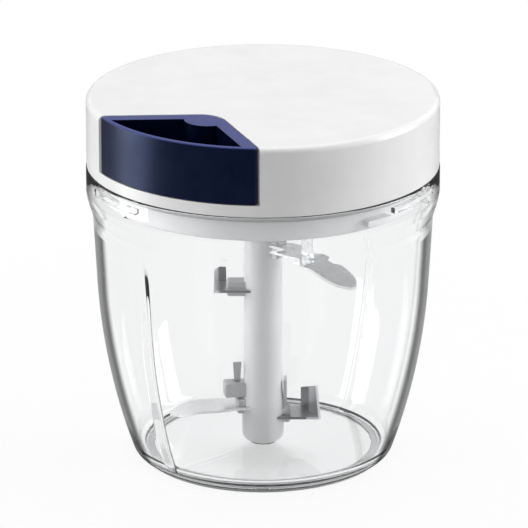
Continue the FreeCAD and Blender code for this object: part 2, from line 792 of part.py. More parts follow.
def pawl_springs():
    """Bent wires under the reel that press the pawls outwards."""
    height = Vector(0, 0, pawl_bottom_z + pawl_height / 2)
    eye, tip, inward = pawl_line()
    half_width = pawl_neck + (pawl_tip_round - pawl_neck) * pawl_spring_share
    away = half_width + pawl_spring_wire + pawl_spring_touch
    inner = pawl_pivot - pawl_eye - pawl_spring_wire - pawl_spring_gap
    root = polar(inner, pawl_azimuth + pawl_spring_lead) + height
    knee = polar(inner, pawl_azimuth - pawl_spring_knee) + height
    end = eye + (tip - eye) * pawl_spring_share + inward * away + height
    runs = [Part.makeCylinder(pawl_spring_wire, reel_bottom_z - root.z, root)]
    for a, b in ((root, knee), (knee, end)):
        runs.append(Part.makeCylinder(pawl_spring_wire, (b - a).Length, a, b - a))
        runs.append(Part.makeSphere(pawl_spring_wire, a))
    runs.append(Part.makeSphere(pawl_spring_wire, end))
    wire = fused(runs)
    return Part.makeCompound([spun(wire, i * 360.0 / pawl_count) for i in range(pawl_count)])


def bent_plate(path, thickness, width):
    """Plate that follows a path in the XZ plane, round on the outside of each bend."""
    runs = []
    half = thickness / 2
    for (x0, z0), (x1, z1) in zip(path, path[1:]):
        length = math.hypot(x1 - x0, z1 - z0)
        slab = Part.makeBox(length, width, thickness, Vector(0, -width / 2, -half))
        tilt = Rotation(Vector(0, 1, 0), -math.degrees(math.atan2(z1 - z0, x1 - x0)))
        slab.Placement = Placement(Vector(x0, 0, z0), tilt)
        runs.append(slab)
    for x, z in path[1:-1]:
        runs.append(Part.makeCylinder(half, width, Vector(x, -width / 2, z), Vector(0, 1, 0)))
    return fused(runs)


def leaf_outline(spec):
    """Plan of a long blade: straight neck, then an oval leaf with a round tip."""
    neck = spec["neck"] / 2
    bulge = spec["width"] / 2 - neck
    length = spec["reach"] - spec["leaf"]
    side = [(spec["leaf"] + along * length, neck + share * bulge) for along, share in leaf_shape]
    side[-1] = (side[-1][0], leaf_shape[-1][1] * spec["width"] / 2)
    low = [Vector(x, -y, -total_height) for x, y in side]
    high = [Vector(x, y, -total_height) for x, y in reversed(side)]
    leaf = Part.BSplineCurve()
    leaf.interpolate(low + [Vector(spec["reach"], 0, -total_height)] + high)
    root = [high[-1], Vector(blade_tang, neck, -total_height), Vector(blade_tang, -neck, -total_height), low[0]]
    edges = [leaf.toShape()] + [Part.LineSegment(a, b).toShape() for a, b in zip(root, root[1:])]
    return Part.Face(Part.Wire(edges)).extrude(Vector(0, 0, 2 * total_height))


def folded_blade(spec):
    """Short blade: flat from its tang to its end, with the plate that stands on its fold."""
    half = spec["width"] / 2
    (x0, y0), (x1, y1) = spec["fold"]
    along = Vector(x1 - x0, y1 - y0, 0).normalize()
    outward = Vector(0, 0, 1).cross(along) * blade_thickness
    low_end, high_end = spec["ends"]
    flat = [(blade_tang, -half), (low_end, -half), (high_end, half), (blade_tang, half)]
    base = prism(flat, -blade_thickness / 2, blade_thickness / 2)
    corners = [Vector(x0, y0, -blade_thickness / 2) + along * a + Vector(0, 0, h) for a, h in spec["plate"]]
    plate = Part.Face(Part.Wire(polygon_edges(corners))).extrude(outward)
    return fused([base, plate])


def upright_tab(start, length, low, high, flare):
    """Tab along a blade's middle line, each side leaning out by `flare` at the top."""
    corners = [(start, low), (start + length, low), (start + length + flare, high), (start - flare, high)]
    edges = polygon_edges([Vector(x, -blade_thickness / 2, z) for x, z in corners])
    return Part.Face(Part.Wire(edges)).extrude(Vector(0, blade_thickness, 0))


def blade_height(spec):
    return shaft_top_z - spec["drop"] if "drop" in spec else spec["height"]


def blade(spec):
    """One blade in place: tang in the shaft, flat run, then the leaf or the raised plate."""
    if "fold" in spec:
        plate = folded_blade(spec)
    else:
        path = [(blade_tang, 0.0), (spec["bend"], 0.0), (spec["reach"], spec["rise"])]
        plate = bent_plate(path, blade_thickness, spec["width"]).common(leaf_outline(spec))
    if "tab" in spec:
        plate = fused([plate, upright_tab(*spec["tab"])])
    plate.translate(Vector(0, 0, blade_height(spec)))
    return spun(plate, spec["azimuth"])


def blade_arm(spec):
    """Short square arm of the shaft that grips the root of a blade."""
    arm = Part.makeBox(spec["arm"], arm_width, arm_height, Vector(0, -arm_width / 2, -arm_height / 2))
    ends = [edge for edge in arm.Edges if edge.BoundBox.XMin > spec["arm"] - arm_round]
    arm = arm.makeFillet(arm_round, ends)
    arm.translate(Vector(0, 0, blade_height(spec)))
    return spun(arm, spec["azimuth"])


def shaft_fin():
    spec = blade_specs[fin_blade]
    fin = Part.makeBox(fin_thickness, arm_width, fin_height, Vector(fin_start, -arm_width / 2, 0))
    fin.translate(Vector(0, 0, blade_height(spec)))
    return spun(fin, spec["azimuth"])


def blade_shaft():
    """White shaft with a thick foot, five arms, a hexagonal socket and the pin's bore."""
    body = turned_profile([
        (0, shaft_foot_z),
        (hub_foot_radius, shaft_foot_z),
        (hub_foot_radius, hub_foot_top_z),
        (shaft_low_radius, hub_foot_top_z + hub_foot_shoulder),
        (shaft_top_radius, shaft_top_z),
        (0, shaft_top_z),
    ])
    body = body.makeFillet(shaft_foot_round, rim_edges(body, hub_foot_radius, shaft_foot_z))
    shape = fused([body, shaft_fin()] + [blade_arm(spec) for spec in blade_specs.values()])
    bush_low = boss_top_z + shaft_bush_gap
    hollows = [
        hexagon(hex_flats + 2 * socket_gap, stub_bottom_z - socket_end_gap, shaft_top_z),
        cylinder(boss_radius + boss_gap, shaft_foot_z, bush_low),
        cylinder(shaft_bush_radius + shaft_bush_play, shaft_foot_z, shaft_bush_top_z + shaft_bush_gap),
        cylinder(pin_radius + boss_gap, shaft_foot_z, pin_top_z + pin_end_gap),
    ]
    for hollow in hollows:
        shape = shape.cut(hollow)
    for spec in blade_specs.values():
        shape = shape.cut(blade(spec))
    return shape


def shaft_bush():
    return ring(pin_radius + pin_fit, shaft_bush_radius, boss_top_z + shaft_bush_gap, shaft_bush_top_z)


def main():
    pieces = {
        "bowl": bowl(),
        "base_ring": base_ring(),
        "pivot_pin": pivot_pin(),
        "lid_seal": seal_ring(),
        "lid_base": lid_base(),
        "lid_cover": lid_cover(),
        "lid_screws": lid_screws(),
        "axle_pin": axle_pin(),
        "cord_eyelet": cord_eyelet(),
        "drive_bush": drive_bush(),
        "recoil_spring": recoil_spring(),
        "pull_cord": pull_cord(),
        "handle_shell": handle_shell(),
        "anchor_cap": anchor_cap(),
        "cord_knot": cord_knot(),
        "reel": reel(),
        "reel_cap": reel_cap(),
        "cord_winding": cord_winding(),
        "pawl_pins": pawl_pins(),
        "pawl_springs": pawl_springs(),
        "drive_hub": drive_hub(),
        "blade_shaft": blade_shaft(),
        "shaft_bush": shaft_bush(),
    }
    for i in range(pawl_count):
        pieces["pawl_" + str(i + 1)] = pawl(i)
    for name, spec in blade_specs.items():
        pieces[name] = blade(spec)
    os.makedirs("parts", exist_ok=True)
    for name, shape in pieces.items():
        shape.exportStep("parts/" + name + ".step")
        print(name, shape.isValid(), len(shape.Solids), round(shape.Volume, 1))


main()
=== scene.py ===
import math

import bpy
import numpy as np
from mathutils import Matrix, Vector


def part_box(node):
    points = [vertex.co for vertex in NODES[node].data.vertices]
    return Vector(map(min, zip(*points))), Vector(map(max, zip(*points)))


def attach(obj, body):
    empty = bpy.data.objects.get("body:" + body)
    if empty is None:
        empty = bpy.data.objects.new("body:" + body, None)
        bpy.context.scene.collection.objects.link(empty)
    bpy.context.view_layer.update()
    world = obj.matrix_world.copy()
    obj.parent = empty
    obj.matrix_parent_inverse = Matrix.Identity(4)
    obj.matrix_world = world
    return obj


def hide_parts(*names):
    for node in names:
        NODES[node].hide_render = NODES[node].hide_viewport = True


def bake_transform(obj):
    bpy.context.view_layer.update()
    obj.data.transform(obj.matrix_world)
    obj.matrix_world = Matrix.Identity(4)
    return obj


# Looks of the pull-string food chopper, in metres, Z up. Sizes in millimetres
# repeat the solids' own sizes.

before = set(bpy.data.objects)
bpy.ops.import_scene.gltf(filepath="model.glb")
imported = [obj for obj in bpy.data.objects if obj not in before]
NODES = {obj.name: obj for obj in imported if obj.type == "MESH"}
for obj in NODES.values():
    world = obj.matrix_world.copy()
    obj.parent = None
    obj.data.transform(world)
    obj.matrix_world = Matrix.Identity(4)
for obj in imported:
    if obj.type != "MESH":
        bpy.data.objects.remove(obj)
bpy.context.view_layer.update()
MM = 0.001

# Node trees

class Tree:
    """A material or world node tree, built one node at a time."""

    def __init__(self, owner):
        owner.use_nodes = True
        self.tree = owner.node_tree
        self.tree.nodes.clear()

    def add(self, kind, settings=None, **inputs):
        node = self.tree.nodes.new(kind)
        for name, value in (settings or {}).items():
            setattr(node, name, value)
        for name, value in inputs.items():
            self.put(node.inputs[name.replace("_", " ")], value)
        return node

    def put(self, socket, value):
        if isinstance(value, bpy.types.NodeSocket):
            self.tree.links.new(value, socket)
        else:
            socket.default_value = value

    def math(self, operation, a, b=0.0, c=0.0):
        node = self.tree.nodes.new("ShaderNodeMath")
        node.operation = operation
        for socket, value in zip(node.inputs, (a, b, c)):
            self.put(socket, value)
        return node.outputs[0]

    def ramp(self, factor, stops, mode="LINEAR"):
        node = self.tree.nodes.new("ShaderNodeValToRGB")
        node.color_ramp.interpolation = mode
        elements = node.color_ramp.elements
        while len(elements) < len(stops):
            elements.new(0.5)
        for element, (place, colour) in zip(elements, stops):
            element.position = place
            element.color = colour if len(colour) == 4 else (*colour, 1.0)
        self.put(node.inputs["Fac"], factor)
        return node.outputs["Color"]

    def spread(self, value, low, high, new_low, new_high):
        node = self.tree.nodes.new("ShaderNodeMapRange")
        for socket, number in zip(node.inputs, (value, low, high, new_low, new_high)):
            self.put(socket, number)
        return node.outputs[0]

    def noise(self, scale, detail=2.0, roughness=0.5, vector=None, distortion=0.0):
        node = self.add("ShaderNodeTexNoise", Scale=scale, Detail=detail, Roughness=roughness,
                        Distortion=distortion)
        self.put(node.inputs["Vector"], vector or self.place())
        return node.outputs["Fac"]

    def place(self, scale=(1, 1, 1)):
        """Position on the piece in metres, stretched by `scale`."""
        coords = self.tree.nodes.new("ShaderNodeTexCoord")
        if tuple(scale) == (1, 1, 1):
            return coords.outputs["Object"]
        mapping = self.tree.nodes.new("ShaderNodeMapping")
        mapping.inputs["Scale"].default_value = scale
        self.tree.links.new(coords.outputs["Object"], mapping.inputs["Vector"])
        return mapping.outputs["Vector"]

    def bump(self, height, strength, distance, normal=None):
        node = self.add("ShaderNodeBump", Strength=strength, Distance=distance, Height=height)
        if normal is not None:
            self.put(node.inputs["Normal"], normal)
        return node.outputs["Normal"]

    def mix(self, share, first, second):
        node = self.tree.nodes.new("ShaderNodeMixShader")
        for socket, value in zip(node.inputs, (share, first, second)):
            self.put(socket, value)
        return node.outputs[0]

    def soft_edge(self, radius):
        return self.add("ShaderNodeBevel", {"samples": 4}, Radius=radius).outputs["Normal"]

    def finish(self, shader, kind="ShaderNodeOutputMaterial"):
        out = self.tree.nodes.new(kind)
        self.tree.links.new(shader, out.inputs["Surface"])


CLEAR_IOR = 1.45
# Facing stops for the clear plastic. Past the first stop they are painted shade: the tint turns dark, a dark
# refraction is mixed in and the shine dims along the edges.
OUTSIDE_TINT_AND_EDGE_SHADE = [(0.0, (0.955, 0.958, 0.96)), (0.66, (0.93, 0.933, 0.936)), (0.70, (0.55, 0.56, 0.57)),
                (0.735, (0.22, 0.225, 0.23)), (0.80, (0.16, 0.165, 0.17)), (0.95, (0.10, 0.102, 0.105))]
COLLAR_TINT_AND_EDGE_SHADE = [(0.0, (0.955, 0.958, 0.96)), (0.71, (0.92, 0.923, 0.926)), (0.76, (0.62, 0.63, 0.64)),
               (0.82, (0.40, 0.405, 0.41)), (1.0, (0.30, 0.305, 0.31))]
INSIDE_TINT_AND_EDGE_SHADE = [(0.0, (0.955, 0.958, 0.96)), (0.78, (0.93, 0.933, 0.936)), (0.90, (0.50, 0.51, 0.52)),
               (1.0, (0.30, 0.305, 0.31))]
OUTSIDE_EDGE_SHADE = [(0.665, 0.0), (0.70, 0.35), (0.735, 0.82), (0.775, 0.78), (0.82, 0.58), (1.0, 0.5)]
COLLAR_EDGE_SHADE = [(0.72, 0.0), (0.78, 0.30), (0.83, 0.45), (1.0, 0.35)]
INSIDE_EDGE_SHADE = [(0.85, 0.0), (1.0, 0.4)]
CLEAR_SHINE_EDGE_SHADE = [(0.0, (1.0, 1.0, 1.0)), (0.64, (0.9, 0.9, 0.9)), (0.76, (0.30, 0.30, 0.31)),
               (0.90, (0.20, 0.20, 0.21))]


def principled(tree, **inputs):
    return tree.add("ShaderNodeBsdfPrincipled", None, **inputs).outputs["BSDF"]


def mould_plastic(name, colour, roughness, grain=0.00002, edge=0.00025, mottle=0.03, shine=0.5,
                  tint=(1.0, 1.0, 1.0), sheen=0.0):
    """Moulded plastic: fine spark-eroded grain, faint flow mottling, softened edges."""
    material = bpy.data.materials.new(name)
    t = Tree(material)
    flow = t.noise(45.0, 3.0, 0.6)
    dark = [c * (1 - mottle) for c in colour]
    light = [min(1.0, c * (1 + mottle)) for c in colour]
    base = t.ramp(flow, [(0.3, dark), (0.7, light)])
    speck = t.noise(5200.0, 2.0, 0.7)
    wide = t.noise(160.0, 3.0, 0.5)
    rough = t.spread(wide, 0.3, 0.7, roughness - 0.03, roughness + 0.04)
    normal = t.bump(speck, 0.35, grain, t.soft_edge(edge) if edge else None)
    shader = principled(t, Base_Color=base, Roughness=rough, Normal=normal, Specular_IOR_Level=shine,
                        Specular_Tint=(*tint, 1.0), Sheen_Weight=sheen, Sheen_Roughness=0.4)
    t.finish(shader)
    return material


def metal(name, colour, roughness, anisotropy=0.0, stretch=(1, 1, 1), edge=0.0001, scratch=0.3, painted_highlight=None):
    """Steel with grinding lines along one direction and a little smear in its shine. The optional last
    argument gives the distance from the axis at which a painted highlight band begins, and how much it adds."""
    material = bpy.data.materials.new(name)
    t = Tree(material)
    lines = t.noise(900.0, 4.0, 0.7, t.place(stretch))
    smear = t.noise(70.0, 3.0, 0.6)
    dark = [c * 0.86 for c in colour]
    base = t.ramp(smear, [(0.3, dark), (0.7, colour)])
    # Painted highlight: beyond the given distance from the axis the colour is brightened.
    if painted_highlight:
        away = t.add("ShaderNodeVectorMath", {"operation": "LENGTH"})
        t.put(away.inputs[0], t.place((1, 1, 0)))
        gain = t.spread(away.outputs["Value"], painted_highlight[0], painted_highlight[0] + 0.0008, 1.0, 1.0 + painted_highlight[1])
        brighter = t.add("ShaderNodeVectorMath", {"operation": "SCALE"})
        t.put(brighter.inputs[0], base)
        t.put(brighter.inputs["Scale"], gain)
        base = brighter.outputs[0]
    rough = t.spread(lines, 0.3, 0.7, roughness - 0.06, roughness + 0.09)
    normal = t.bump(lines, scratch, 0.00001, t.soft_edge(edge))
    shader = principled(t, Base_Color=base, Metallic=1.0, Roughness=rough, Normal=normal,
                        Anisotropic=anisotropy)
    t.finish(shader)
    return material


def clear_plastic(name, tint_and_edge_shade_stops, edge_shade_stops):
    """Clear styrene: polished, faintly wavy, with painted shade making it dark where it is looked at along
    the surface.
    """
    material = bpy.data.materials.new(name)
    t = Tree(material)
    facing = t.add("ShaderNodeLayerWeight", None, Blend=0.5).outputs["Facing"]
    tint = t.ramp(facing, tint_and_edge_shade_stops)
    shine = t.ramp(facing, CLEAR_SHINE_EDGE_SHADE)
    edge = t.ramp(facing, [(place, (share, share, share)) for place, share in edge_shade_stops])
    wave = t.noise(28.0, 2.0, 0.5)
    fine = t.noise(900.0, 3.0, 0.6)
    rough = t.spread(fine, 0.45, 0.8, 0.0, 0.03)
    normal = t.bump(wave, 0.02, 0.0004)
    glass = principled(t, Base_Color=tint, Roughness=rough, Normal=normal, IOR=CLEAR_IOR,
                       Transmission_Weight=1.0, Specular_Tint=shine)
    # Painted shade: a dark refraction mixed in at grazing angles darkens the edges.
    dark = t.add("ShaderNodeBsdfRefraction", None, Color=(0.12, 0.122, 0.125, 1.0), IOR=CLEAR_IOR,
                 Roughness=0.0, Normal=normal).outputs[0]
    light = t.add("ShaderNodeLightPath")
    through = t.add("ShaderNodeBsdfTransparent", None, Color=(0.93, 0.935, 0.94, 1.0)).outputs[0]
    edge_shaded = t.mix(edge, glass, dark)
    t.finish(t.mix(light.outputs["Is Shadow Ray"], edge_shaded, through))
    return material


def soft_rubber(name, colour, roughness, transmission=0.0):
    material = bpy.data.materials.new(name)
    t = Tree(material)
    cloud = t.noise(120.0, 4.0, 0.6)
    base = t.ramp(cloud, [(0.3, [c * 0.93 for c in colour]), (0.7, colour)])
    speck = t.noise(3000.0, 2.0, 0.6)
    rough = t.spread(cloud, 0.3, 0.7, roughness - 0.04, roughness + 0.06)
    normal = t.bump(speck, 0.4, 0.00002)
    shader = principled(t, Base_Color=base, Roughness=rough, Normal=normal, IOR=1.42,
                        Transmission_Weight=transmission)
    t.finish(shader)
    return material


def braid(name, colour):
    """Braided cord: crossing strands as a bump, with painted shade making the gaps between them darker."""
    material = bpy.data.materials.new(name)
    t = Tree(material)
    one = t.add("ShaderNodeTexWave", {"bands_direction": "DIAGONAL"}, Scale=700.0, Distortion=0.4,
                Vector=t.place((1, 1, 1))).outputs["Fac"]
    two = t.add("ShaderNodeTexWave", {"bands_direction": "DIAGONAL"}, Scale=700.0, Distortion=0.4,
                Vector=t.place((-1, 1, 1))).outputs["Fac"]
    weave = t.math("MULTIPLY", one, two)
    # Painted shade: the gaps between strands are darkened.
    base = t.ramp(weave, [(0.0, [c * 0.55 for c in colour]), (0.5, colour)])
    rough = t.spread(weave, 0.0, 1.0, 0.95, 0.75)
    normal = t.bump(weave, 0.6, 0.0001)
    shader = principled(t, Base_Color=base, Roughness=rough, Normal=normal, Sheen_Weight=0.3)
    t.finish(shader)
    return material


NAVY_SHINE = (0.30, 0.46, 1.0)
WHITE = mould_plastic("white_cover_plastic", (0.87, 0.87, 0.875), 0.22)
INNER = mould_plastic("grey_white_inner_plastic", (0.73, 0.735, 0.745), 0.42)
# Painted shade: the white shaft plastic is given a grey colour for its shaded front.
SHAFT = mould_plastic("white_shaft_plastic_painted_shade", (0.54, 0.54, 0.55), 0.40, shine=0.3, sheen=0.6)
# Painted shade: the arms of the shaft piece are coloured grey for the shade on their faces.
ARM_PAINTED_SHADE = mould_plastic("arm_plastic_painted_shade", (0.40, 0.405, 0.41), 0.42, shine=0.3)
BLUE = mould_plastic("navy_handle_plastic", (0.0007, 0.0026, 0.016), 0.30, grain=0.00003, mottle=0.08,
                     shine=0.50, tint=NAVY_SHINE)
# Painted light: a lighter copy of the navy for the handle's upward faces, as lit from above.
BLUE_PAINTED_LIT_TOP = mould_plastic("navy_handle_painted_lit_top", (0.036, 0.048, 0.19), 0.36, grain=0.00003, mottle=0.05,
                         shine=0.3, tint=NAVY_SHINE)
DRIVE = mould_plastic("grey_drive_plastic", (0.16, 0.165, 0.175), 0.45)
BUSH = mould_plastic("bearing_plastic", (0.66, 0.62, 0.52), 0.5)
CLEAR = clear_plastic("clear_bowl_plastic", OUTSIDE_TINT_AND_EDGE_SHADE, OUTSIDE_EDGE_SHADE)
CLEAR_INSIDE = clear_plastic("clear_bowl_inside", INSIDE_TINT_AND_EDGE_SHADE, INSIDE_EDGE_SHADE)
CLEAR_COLLAR = clear_plastic("clear_collar_plastic", COLLAR_TINT_AND_EDGE_SHADE, COLLAR_EDGE_SHADE)
RING = soft_rubber("translucent_silicone", (0.60, 0.61, 0.62), 0.45, 0.35)
# Painted shade: the seal's grey stands in for the shadow in the gap under the lid's edge.
SEAL_PAINTED_GAP_SHADE = soft_rubber("seal_rubber_painted_gap_shade", (0.46, 0.46, 0.465), 0.55)
BLADE = metal("ground_blade_steel", (0.80, 0.81, 0.82), 0.26, 0.5, (1, 12, 1))
# Painted shade and highlight: dark steel standing in for a dark reflection, brightened into a highlight band
# at the tips.
BLADE_SIDE = metal("blade_steel_painted_shade_and_highlight", (0.14, 0.145, 0.15), 0.30, 0.3, (1, 12, 1), painted_highlight=(0.0172, 3.2))
# Painted shade: a darker copy of the blade steel for the lower short blade and the upright blade's standing
# faces.
BLADE_DARKER_PAINTED_SHADE = metal("darker_blade_steel_painted_shade", (0.34, 0.345, 0.35), 0.34, 0.3, (1, 12, 1))
STEEL = metal("turned_steel", (0.58, 0.58, 0.59), 0.3, 0.3, (1, 1, 10))
SPRING = metal("blued_spring_steel", (0.22, 0.24, 0.30), 0.32, 0.3, (1, 1, 8))
CORD = braid("braided_cord", (0.80, 0.80, 0.78))

NODE_MATERIALS = {
    WHITE: ["lid_cover"],
    INNER: ["lid_base", "reel", "reel_cap"],
    SHAFT: ["blade_shaft"],
    BLUE: ["handle_shell", "anchor_cap"],
    DRIVE: ["drive_hub"],
    BUSH: ["drive_bush", "shaft_bush"],
    CLEAR: ["bowl"],
    RING: ["base_ring"],
    SEAL_PAINTED_GAP_SHADE: ["lid_seal"],
    STEEL: ["pivot_pin", "lid_screws", "axle_pin", "cord_eyelet", "pawl_pins", "pawl_1", "pawl_2"],
    SPRING: ["recoil_spring", "pawl_springs"],
    CORD: ["pull_cord", "cord_knot", "cord_winding"],
    BLADE: ["blade_top_long", "blade_upper_short", "blade_lower_upright", "blade_lower_long"],
    BLADE_DARKER_PAINTED_SHADE: ["blade_lower_short"],
}

for material, names in NODE_MATERIALS.items():
    for name in names:
        mesh = NODES[name].data
        mesh.materials.clear()
        mesh.materials.append(material)
        mesh.shade_smooth()
        mesh.set_sharp_from_angle(angle=math.radians(32))


def paint_faces(node, material, chosen):
    """Give some faces of a node a material of their own: `chosen` gets each face's middle in
    millimetres and its normal."""
    piece = NODES[node]
    piece.data.materials.append(material)
    for face in piece.data.polygons:
        if chosen(piece.matrix_world @ face.center / MM, face.normal):
            face.material_index = 1


def looks_up(middle, normal):
    return normal.z > 0.5


def on_an_arm(middle, normal):
    return math.hypot(middle.x, middle.y) > 8.7


def stands_up(middle, normal):
    return abs(normal.z) < 0.5


# Upward faces of the handle and anchor cap take the lighter navy as painted light.
paint_faces("handle_shell", BLUE_PAINTED_LIT_TOP, looks_up)
paint_faces("anchor_cap", BLUE_PAINTED_LIT_TOP, looks_up)
# The arm faces of the shaft piece take the grey as painted shade.
paint_faces("blade_shaft", ARM_PAINTED_SHADE, on_an_arm)
# Standing faces of the short blades take the dark steel as painted shade, with the painted highlight band at
# their tips.
for name in ("blade_upper_short", "blade_lower_short"):
    paint_faces(name, BLADE_SIDE, stands_up)
# The upright blade's standing faces take the darker steel as painted shade.
paint_faces("blade_lower_upright", BLADE_DARKER_PAINTED_SHADE, stands_up)

# Meshes

def new_piece(name, vertices, faces, material, body, slot, replaces=(), sharp=38.0):
    """Mesh piece from millimetre points, riding on a body if it has one, standing for CAD nodes."""
    mesh = bpy.data.meshes.new(name)
    mesh.from_pydata([tuple(c * MM for c in v) for v in vertices], [], faces)
    mesh.validate()
    mesh.materials.append(material)
    mesh.shade_smooth()
    mesh.set_sharp_from_angle(angle=math.radians(sharp))
    piece = bpy.data.objects.new(name, mesh)
    bpy.context.scene.collection.objects.link(piece)
    if body:
        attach(piece, body)
    if replaces:
        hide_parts(*replaces)
    return piece


def rounded(corners, steps=6):
    """Polyline through (r, z, rounding radius) corners, each rounded by a short arc."""
    line = []
    count = len(corners)
    for i, (r, z, radius) in enumerate(corners):
        here = Vector((r, z))
        if radius <= 0 or i in (0, count - 1):
            line.append((r, z))
            continue
        before = (Vector(corners[i - 1][:2]) - here).normalized()
        after = (Vector(corners[i + 1][:2]) - here).normalized()
        half = before.angle(after) / 2
        centre = here + (before + after).normalized() * (radius / math.sin(half))
        start = here + before * (radius / math.tan(half))
        end = here + after * (radius / math.tan(half))
        a0 = math.atan2(start.y - centre.y, start.x - centre.x)
        a1 = math.atan2(end.y - centre.y, end.x - centre.x)
        turn = (a1 - a0 + math.pi) % (2 * math.pi) - math.pi
        for k in range(steps + 1):
            angle = a0 + turn * k / steps
            line.append((centre.x + radius * math.cos(angle), centre.y + radius * math.sin(angle)))
    return line


# Bowl

def box_mm(node):
    """Lowest and highest corner of a node at rest, in millimetres."""
    return tuple(Vector(corner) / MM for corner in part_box(node))


bowl_low, bowl_high = box_mm("bowl")
ring_low, ring_high = box_mm("base_ring")
pin_low, pin_high = box_mm("pivot_pin")
BOWL_WALL = 2.3
COLLAR_R, RIM_Z, UNDER_Z = bowl_high.x, bowl_high.z, bowl_low.z
FLARE_TOP_Z, FLARE_HEIGHT, COLLAR_STEP, FOOT_INSET = RIM_Z - 11.1, 8.2, 2.4, 15.2
STRAIGHT_HEIGHT, STRAIGHT_INSET = 26.0, 1.35
WAIST_Z, WAIST_R = FLARE_TOP_Z - FLARE_HEIGHT, COLLAR_R - COLLAR_STEP
FLOOR_Z, FOOT_ROUND, FLOOR_ROUND = 3.6, 4.0, 6.0
BOSS_R, BOSS_TOP_Z = 4.4, 10.0
RING_OUTER, RING_WIDTH, RING_TOP_Z, RING_GAP = ring_high.x, 4.6, ring_high.z, 0.06
PIN_R, PIN_FOOT_Z = pin_high.x + 0.02, pin_low.z
WALL_TILT = math.atan2(STRAIGHT_INSET, STRAIGHT_HEIGHT)
FLARE_ANGLE = math.atan2(COLLAR_STEP, FLARE_HEIGHT)
FLARE_SHIFT = BOWL_WALL * math.tan(FLARE_ANGLE / 2)
INNER_BEND = BOWL_WALL / (1 + math.cos(FLARE_ANGLE - WALL_TILT))
INNER_WAIST_R = WAIST_R - INNER_BEND * (math.cos(FLARE_ANGLE) + math.cos(WALL_TILT))
INNER_WAIST_Z = WAIST_Z + INNER_BEND * (math.sin(FLARE_ANGLE) + math.sin(WALL_TILT))
CURVE_INSET, CURVE_HEIGHT = FOOT_INSET - STRAIGHT_INSET, WAIST_Z - STRAIGHT_HEIGHT - UNDER_Z
CURVE_BOW = CURVE_INSET * math.cos(WALL_TILT) - CURVE_HEIGHT * math.sin(WALL_TILT)
CURVE = (CURVE_INSET ** 2 + CURVE_HEIGHT ** 2) / (2 * CURVE_BOW)
CURVE_CENTRE_R = WAIST_R - STRAIGHT_INSET - CURVE * math.cos(WALL_TILT)
CURVE_CENTRE_Z = WAIST_Z - STRAIGHT_HEIGHT + CURVE * math.sin(WALL_TILT)
RIB_AZIMUTHS = [-101.5, 78.5]
RIB_HEIGHT, RIB_HALF, RIB_TOP_Z, RIB_FADE = 2.2, 2.6, WAIST_Z, 34.0
FLARE_ROUND, FLARE_ROUND_INSIDE, FLARE_ROUND_REACH = 14.0, 12.8, 2.8
RAMP_MIDDLES = [4.5 + 120.0 * i for i in range(3)]
RAMP_SPAN, STOP_SPAN, TWIST, RAMP_REACH = 26.0, 2.5, 20.0, 1.8
RAMP_Z, RAMP_HEIGHT, STOP_DEPTH = RIM_Z - 5.8, 2.0, 2.4


def wall_path(curve, waist_z, low_z):
    """Wall on the curve with this radius, from the waist down: straight, then curved."""
    top_z = CURVE_CENTRE_Z - curve * math.sin(WALL_TILT)
    top_r = CURVE_CENTRE_R + curve * math.cos(WALL_TILT)
    path = [(top_r + (z - top_z) * math.tan(WALL_TILT), z, 0) for z in np.linspace(waist_z, top_z, 15)]
    for z in np.linspace(top_z, low_z, 40)[1:]:
        path.append((CURVE_CENTRE_R + math.sqrt(curve ** 2 - (CURVE_CENTRE_Z - z) ** 2), z, 0))
    return path


def bowl_profile():
    """Outline from the middle of the underside round to the middle of the floor, with the
    index at which the inside begins."""
    outer = wall_path(CURVE, WAIST_Z, UNDER_Z)[::-1]
    inner = wall_path(CURVE - BOWL_WALL, INNER_WAIST_Z, FLOOR_Z)
    foot = outer[0]
    groove = (RING_OUTER - RING_WIDTH - RING_GAP, RING_OUTER + RING_GAP, RING_TOP_Z + RING_GAP)
    outer_path = [(0, UNDER_Z, 0), (groove[0], UNDER_Z, 0.15), (groove[0], groove[2], 0.1),
                  (groove[1], groove[2], 0.1), (groove[1], UNDER_Z, 0.15), (foot[0], foot[1], FOOT_ROUND)]
    top = WAIST_Z - FLARE_ROUND_REACH
    outer_path += [p for p in outer[1:] if UNDER_Z + 1.6 * FOOT_ROUND < p[1] < top]
    outer_path += [(WAIST_R, WAIST_Z, FLARE_ROUND), (COLLAR_R, FLARE_TOP_Z, FLARE_ROUND),
                   (COLLAR_R, RIM_Z, 0.8)]
    levels = [RAMP_Z + RAMP_HEIGHT, RAMP_Z, RAMP_Z - STOP_DEPTH]
    steps = [z + side for z in levels for side in (0.1, -0.1)]
    inner_path = [(COLLAR_R - BOWL_WALL, RIM_Z, 0.8)]
    inner_path += [(COLLAR_R - BOWL_WALL, z, 0) for z in steps if z > FLARE_TOP_Z + FLARE_SHIFT]
    inner_path += [(COLLAR_R - BOWL_WALL, FLARE_TOP_Z + FLARE_SHIFT, FLARE_ROUND_INSIDE),
                   (INNER_WAIST_R, INNER_WAIST_Z, FLARE_ROUND_INSIDE)]
    inner_path += [p for p in inner[1:] if FLOOR_Z + 1.5 * FLOOR_ROUND < p[1] < top]
    inner_path += [(inner[-1][0], FLOOR_Z, FLOOR_ROUND), (BOSS_R, FLOOR_Z, 0.8), (BOSS_R, BOSS_TOP_Z, 0.5),
                   (PIN_R, BOSS_TOP_Z, 0.3), (PIN_R, PIN_FOOT_Z, 0.1), (0, PIN_FOOT_Z, 0)]
    line = rounded(outer_path + inner_path, 7)
    rim = max(range(len(line)), key=lambda i: (round(line[i][1], 6), line[i][0]))
    return line, rim


